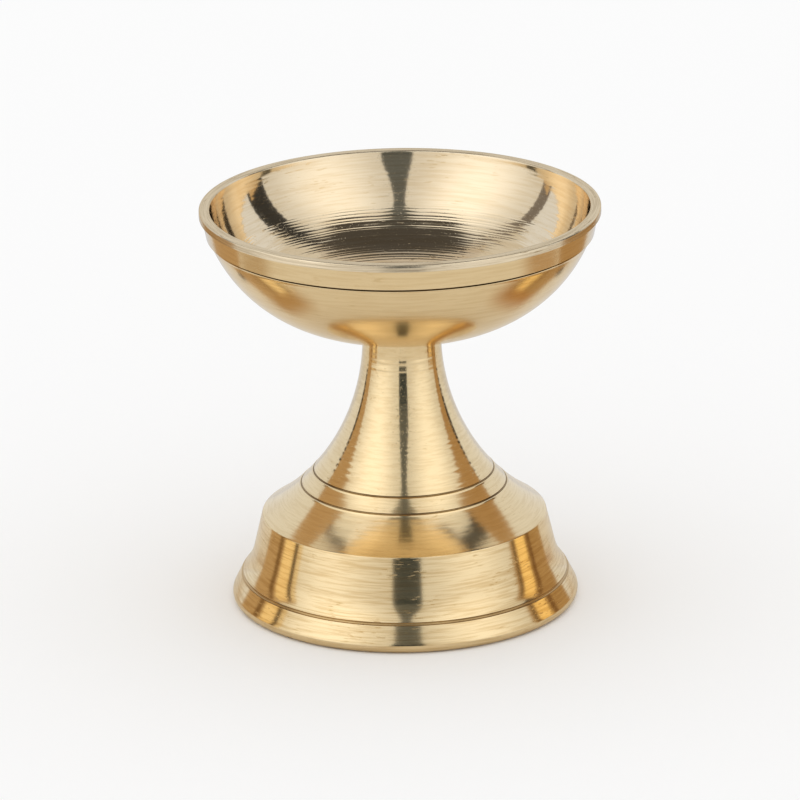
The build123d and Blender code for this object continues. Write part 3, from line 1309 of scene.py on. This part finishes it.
@dataclass
class Studio:
    """Pale floor, white light from all round, cards for the metal to reflect, and the camera."""

    # Distance and heights of the cards that stand beside the foot
    NEAR: ClassVar[float] = 0.0675
    FOOT: ClassVar[Range] = (0.0, 0.032)

    aim_height: float = 35.0 * MM
    aim_left: float = 0.5 * MM
    aim_up: float = 1.365 * MM
    elevation: float = math.radians(18.841)
    distance: float = 1100.7 * MM
    roll: float = math.radians(-0.846)
    lens: float = 279.4
    sensor: float = 36.0
    sight: float = 20.0
    floor_size: float = 6.0
    floor_drop: float = 0.02 * MM
    floor_colour: Colour = (0.97, 0.97, 0.97)
    # Mat under the lamp that only the metal sees: greyer than the floor, so that it paints the floor's shade
    # into the reflections
    mat_radius: float = 1.5
    mat_drop: float = 0.01 * MM
    mat_shade_colour: Colour = (0.78, 0.75, 0.69)
    glow_squash: tuple[float, float, float] = (1.0, 0.5, 1.0)
    glow_middle: tuple[float, float, float] = (0.5, 0.25, 0.0)
    glow_fade: Range = (0.05, 0.5)
    disc_corners: int = 64
    card_columns: int = 24
    card_rows: int = 30
    cards: tuple[Card, ...] = (
        # Dark gap in front of the lamp, which opens out overhead
        Card(
            "slit_low", 0.25, ((0.012, -10.0, 12.3), (0.088, -9.7, 12.4)),
            (0.045, 0.056, 0.06), soft=(0.08, 0.0),
        ),
        Card(
            "slit", 0.25,
            (
                (0.088, -9.7, 12.4), (0.10, -9.6, 12.4), (0.135, -8.8, 12.0), (0.165, -7.5, 9.8),
                (0.20, -6.5, 7.8), (0.285, -5.2, 5.8), (0.36, -4.5, 5.1), (0.43, -6.5, 7.5),
                (0.51, -13.0, 13.0), (0.60, -26.0, 26.0), (0.72, -44.0, 44.0), (0.84, -56.0, 56.0),
                (1.05, -64.0, 64.0),
            ),
            (0.13, 0.14, 0.14), soft=(0.08, 0.0),
        ),
        # Bright panel to each side of the gap, and the dark strip past each panel
        Card("left_panel", 0.27, ((0.0, -104.0, -7.0), (0.56, -104.0, -2.0)), (0.80, 0.80, 0.78), 0.65),
        Card("right_panel", 0.27, ((0.0, 7.0, 97.0), (0.56, 2.0, 97.0)), (0.76, 0.76, 0.74), 0.6),
        Card.upright("left_strip", 0.25, (0.0, 0.40), (-113.0, -104.0), (0.22, 0.20, 0.185), (0.05, 0.0)),
        Card(
            "left_strip_top", 0.25, ((0.40, -113.0, -104.0), (0.80, -117.0, -102.0)),
            (0.11, 0.10, 0.09), soft=(0.05, 0.0),
        ),
        Card(
            "right_strip", 0.25,
            ((0.0, 97.0, 114.0), (0.25, 97.0, 115.0), (0.45, 97.0, 118.0), (0.80, 97.0, 123.0)),
            (0.045, 0.045, 0.045), soft=(0.05, 0.1),
        ),
        # Wall behind the lamp, duller towards its top
        Card.upright("back_wall", 0.30, (0.0, 0.28), (104.0, 250.0), (0.81, 0.84, 0.88)),
        Card.upright("back_wall_middle", 0.30, (0.28, 0.50), (104.0, 250.0), (0.72, 0.70, 0.65)),
        Card.upright("back_wall_top", 0.30, (0.50, 0.95), (104.0, 250.0), (0.62, 0.58, 0.53)),
        # Warm cards close to the lamp on its left
        Card(
            "left_gold_low", 0.068, ((0.0, -113.0, -72.0), (0.022, -113.0, -72.0), (0.034, -101.0, -72.0)),
            (0.52, 0.36, 0.19), soft=(0.08, 0.0),
        ),
        Card(
            "left_gold", 0.052,
            (
                (0.034, -103.0, -91.0), (0.0445, -105.5, -85.5), (0.0515, -110.0, -81.8),
                (0.058, -111.5, -78.4), (0.072, -113.0, -71.0),
            ),
            (0.50, 0.34, 0.18), soft=(0.08, 0.05),
        ),
        Card(
            "left_gold_top", 0.068, ((0.072, -127.0, -116.0), (0.081, -127.0, -125.0)),
            (0.62, 0.44, 0.24), soft=(0.1, 0.0),
        ),
        Card.upright("left_gold_pale", NEAR, FOOT, (-91.0, -79.0), (1.0, 0.78, 0.43), (0.15, 0.1)),
        Card.upright("left_gold_line", NEAR, FOOT, (-97.0, -91.5), (0.20, 0.11, 0.04), (0.25, 0.1)),
        Card.upright("left_gold_edge", NEAR, FOOT, (-79.5, -76.5), (0.05, 0.04, 0.03), (0.2, 0.1)),
        Card.upright("left_gold_rim", NEAR, FOOT, (-76.5, -72.0), (0.84, 0.70, 0.46), (0.2, 0.1)),
        Card(
            "left_neck_line", 0.0515, ((0.036, -106.0, -100.5), (0.0425, -106.0, -101.1)),
            (0.02, 0.015, 0.01), soft=(0.2, 0.3),
        ),
        # Warm cards close to the lamp on its right
        Card(
            "right_gold_low", 0.068, ((0.0, 73.0, 114.0), (0.022, 73.0, 114.0), (0.034, 73.0, 104.0)),
            (0.45, 0.29, 0.13), soft=(0.08, 0.0),
        ),
        Card(
            "right_gold", 0.052,
            ((0.034, 91.0, 103.0), (0.047, 82.8, 106.3), (0.058, 75.8, 109.5), (0.072, 67.0, 112.0)),
            (0.44, 0.28, 0.13), soft=(0.08, 0.05),
        ),
        Card(
            "right_gold_top", 0.068, ((0.072, 110.0, 128.0), (0.081, 126.0, 128.0)),
            (0.62, 0.43, 0.22), soft=(0.1, 0.0),
        ),
        Card.upright("right_gold_pale", NEAR, FOOT, (79.5, 91.0), (1.08, 0.77, 0.32), (0.15, 0.1)),
        Card.upright("right_gold_line", NEAR, FOOT, (91.5, 97.0), (0.20, 0.10, 0.035), (0.25, 0.1)),
        Card.upright("right_gold_edge", NEAR, FOOT, (76.5, 79.5), (0.16, 0.10, 0.05), (0.2, 0.1)),
        Card(
            "right_neck_line", 0.0515, ((0.036, 99.0, 106.0), (0.0425, 100.2, 106.0)),
            (0.02, 0.015, 0.01), soft=(0.2, 0.3),
        ),
    )
    # Colours that lie on the floor around the lamp, and the dark canopy over it
    patches: tuple[Patch, ...] = (
        Patch("back_patch", (0.60, 0.28), (0.0, 0.30), -0.005 * MM, (0.68, 0.71, 0.78)),
        Patch("left_patch", (26.0 * MM, 36.0 * MM), (-64.0 * MM, 4.0 * MM), 0.0, (0.46, 0.29, 0.13)),
        Patch("right_patch", (32.0 * MM, 40.0 * MM), (72.0 * MM, 4.0 * MM), 0.0, (0.44, 0.23, 0.08)),
        Patch("left_far_patch", (20.0 * MM, 45.0 * MM), (-136.0 * MM, 5.0 * MM), 0.0, (0.46, 0.33, 0.18)),
        Patch("right_far_patch", (22.0 * MM, 55.0 * MM), (136.0 * MM, -5.0 * MM), 0.0, (0.44, 0.26, 0.10)),
        Patch("canopy", (0.118, 0.086), (0.010, 0.010), 0.25, (0.075, 0.07, 0.065), soft=(0.12, 0.2)),
    )

    def light(self) -> None:
        """Light the lamp evenly from all round."""
        world = bpy.data.worlds.new("studio")
        bpy.context.scene.world = world
        world.use_nodes = True
        background = world.node_tree.nodes["Background"]
        background.inputs["Color"].default_value = (*WHITE, 1.0)
        background.inputs["Strength"].default_value = 1.0
        bpy.context.scene.view_settings.view_transform = "Standard"

    def floor(self) -> bpy.types.Object:
        """Lay the floor.

        Returns:
            The floor.
        """
        half = self.floor_size / 2
        mesh = bpy.data.meshes.new("floor")
        corners = [(-half, -half), (half, -half), (half, half), (-half, half)]
        mesh.from_pydata([(x, y, -self.floor_drop) for x, y in corners], [], [(0, 1, 2, 3)])
        mesh.materials.append(self._matt("pale_floor", self.floor_colour))
        return self._set(bpy.data.objects.new("floor", mesh))

    def _matt(self, name: str, colour: Colour) -> bpy.types.Material:
        """Make a matt material.

        Args:
            name: Name of the material.
            colour: Its colour.

        Returns:
            The material.
        """
        bench = Bench(name)
        bench.shader.inputs["Base Color"].default_value = (*colour, 1.0)
        bench.shader.inputs["Roughness"].default_value = 1.0
        bench.shader.inputs["Specular IOR Level"].default_value = 0.0
        return bench.material

    def _set(self, piece: bpy.types.Object) -> bpy.types.Object:
        """Put a piece on the stage.

        Args:
            piece: The piece.

        Returns:
            The piece.
        """
        bpy.context.scene.collection.objects.link(piece)
        return piece

    def _hide(self, piece: bpy.types.Object) -> bpy.types.Object:
        """Let only the metal see a piece of the studio.

        Args:
            piece: The piece.

        Returns:
            The piece.
        """
        piece.visible_camera = False
        piece.visible_diffuse = False
        piece.visible_shadow = False
        return piece

    def _glow(self, name: str, colour: Colour, rise: float, soft: Range) -> bpy.types.Material:
        """Make a card's evenly lit face.

        Args:
            name: Name of the material.
            colour: Its colour as the metal sees it.
            rise: How much brighter its middle is.
            soft: Share of its width and of its height over which its edges fade out.

        Returns:
            The material.
        """
        bench = Bench(name)
        bench.tree.nodes.remove(bench.shader)
        lit = bench.node("Emission", {"Color": (*colour, 1.0), "Strength": 1.0})
        if rise:
            face = bench.node("TexCoord").outputs["UV"]
            spot = bench.node("Mapping", {0: face, "Scale": self.glow_squash}).outputs[0]
            ends = {0: spot, 1: self.glow_middle}
            away = bench.node("VectorMath", ends, operation="DISTANCE").outputs["Value"]
            strength = bench.ramp(away, self.glow_fade, 1.0 + rise, 1.0)
            bench.tree.links.new(strength, lit.inputs["Strength"])
        self._fade(bench, lit.outputs[0], soft)
        return bench.material

    def _fade(self, bench: Bench, lit: Socket, soft: Range) -> None:
        """Fade a card out towards its edges.

        Args:
            bench: Bench of the material.
            lit: Its lit face.
            soft: Share of its width and of its height over which it fades.
        """
        share: object = 1.0
        parts = bench.node("SeparateXYZ", {0: bench.node("TexCoord").outputs["UV"]}).outputs
        for part, reach in zip(parts, soft):
            if reach:
                inward = bench.math("MINIMUM", part, bench.math("SUBTRACT", 1.0, part))
                share = bench.math("MULTIPLY", share, bench.ramp(inward, (0.0, reach)))
        clear = bench.node("BsdfTransparent").outputs[0]
        face = bench.node("MixShader", {0: share, 1: clear, 2: lit}).outputs[0]
        bench.tree.links.new(face, bench.tree.nodes["Material Output"].inputs["Surface"])

    def card(self, card: Card) -> bpy.types.Object:
        """Stand one card round the lamp.

        Args:
            card: The card.

        Returns:
            The card as it stands.
        """
        wide = self.card_columns + 1
        spots = [
            (column / self.card_columns, row / self.card_rows)
            for row in range(self.card_rows + 1)
            for column in range(wide)
        ]
        faces = [
            (start, start + 1, start + 1 + wide, start + wide)
            for row in range(self.card_rows)
            for start in range(row * wide, row * wide + self.card_columns)
        ]
        mesh = bpy.data.meshes.new(card.name)
        mesh.from_pydata([card.point(*spot) for spot in spots], [], faces)
        layer = mesh.uv_layers.new(name="face")
        for loop in mesh.loops:
            layer.data[loop.index].uv = spots[loop.vertex_index]
        mesh.materials.append(self._glow(card.name, card.colour, card.glow, card.soft))
        return self._hide(self._set(bpy.data.objects.new(card.name, mesh)))

    def _disc(self, name: str, reach: Range, shift: Point, height: float) -> bpy.types.Mesh:
        """Cut a level oval disc.

        Args:
            name: Name of the mesh.
            reach: Half its width along X and along Y.
            shift: Place of its middle.
            height: Height above the floor.

        Returns:
            The disc.
        """
        turns = [math.tau * corner / self.disc_corners for corner in range(self.disc_corners)]
        spots = [(math.cos(turn), math.sin(turn)) for turn in turns]
        mesh = bpy.data.meshes.new(name)
        rim = [(shift[0] + reach[0] * x, shift[1] + reach[1] * y, height) for x, y in spots]
        mesh.from_pydata(rim, [], [tuple(range(len(rim)))])
        layer = mesh.uv_layers.new(name="face")
        for loop in mesh.loops:
            x, y = spots[loop.vertex_index]
            layer.data[loop.index].uv = ((1 + x) / 2, (1 + y) / 2)
        return mesh

    def patch(self, patch: Patch) -> bpy.types.Object:
        """Lay one patch of colour, or hang it over the lamp.

        Args:
            patch: The patch.

        Returns:
            The patch in its place.
        """
        mesh = self._disc(patch.name, patch.reach, patch.shift, patch.height)
        mesh.materials.append(self._glow(patch.name, patch.colour, 0.0, patch.soft))
        return self._hide(self._set(bpy.data.objects.new(patch.name, mesh)))

    def mat(self) -> bpy.types.Object:
        """Lay the warm grey mat that only the metal sees on the floor; greyer than the floor, it paints the
        floor's shade into the metal's reflections.

        Returns:
            The mat.
        """
        mesh = self._disc("mat", (self.mat_radius, self.mat_radius), (0.0, 0.0), -self.mat_drop)
        mesh.materials.append(self._matt("mat", self.mat_shade_colour))
        return self._hide(self._set(bpy.data.objects.new("mat", mesh)))

    def camera(self) -> bpy.types.Object:
        """Set up the camera at the photograph's angle.

        Returns:
            The camera.
        """
        data = bpy.data.cameras.new("camera")
        data.lens = self.lens
        data.sensor_width = self.sensor
        data.clip_end = self.sight
        camera = bpy.data.objects.new("camera", data)
        bpy.context.scene.collection.objects.link(camera)
        back = Vector((0, -math.cos(self.elevation), math.sin(self.elevation)))
        turn = back.to_track_quat("Z", "Y").to_matrix() @ Matrix.Rotation(self.roll, 3, "Z")
        aim = Vector((0, 0, self.aim_height)) + turn @ Vector((-self.aim_left, self.aim_up, 0))
        camera.matrix_world = Matrix.Translation(aim + back * self.distance) @ turn.to_4x4()
        bpy.context.scene.camera = camera
        return camera


def main() -> None:
    """Build the lamp and its studio, and report each piece."""
    logging.basicConfig(level=logging.INFO, format="%(name)s: %(message)s")
    finishes = Finishes()
    fixing = Fixing(finishes)
    pieces = [Stand(finishes).build(), Bowl(finishes).build(), fixing.stud(), fixing.washer(), fixing.nut()]
    for piece in pieces:
        log.info("%s: %d faces", piece.name, len(piece.data.polygons))
    studio = Studio()
    studio.light()
    log.info("laid the %s", studio.floor().name)
    for card in studio.cards:
        log.info("stood %s", studio.card(card).name)
    for patch in studio.patches:
        log.info("placed %s", studio.patch(patch).name)
    log.info("laid the %s", studio.mat().name)
    log.info("set up the %s", studio.camera().name)


if __name__ == "__main__":
    main()
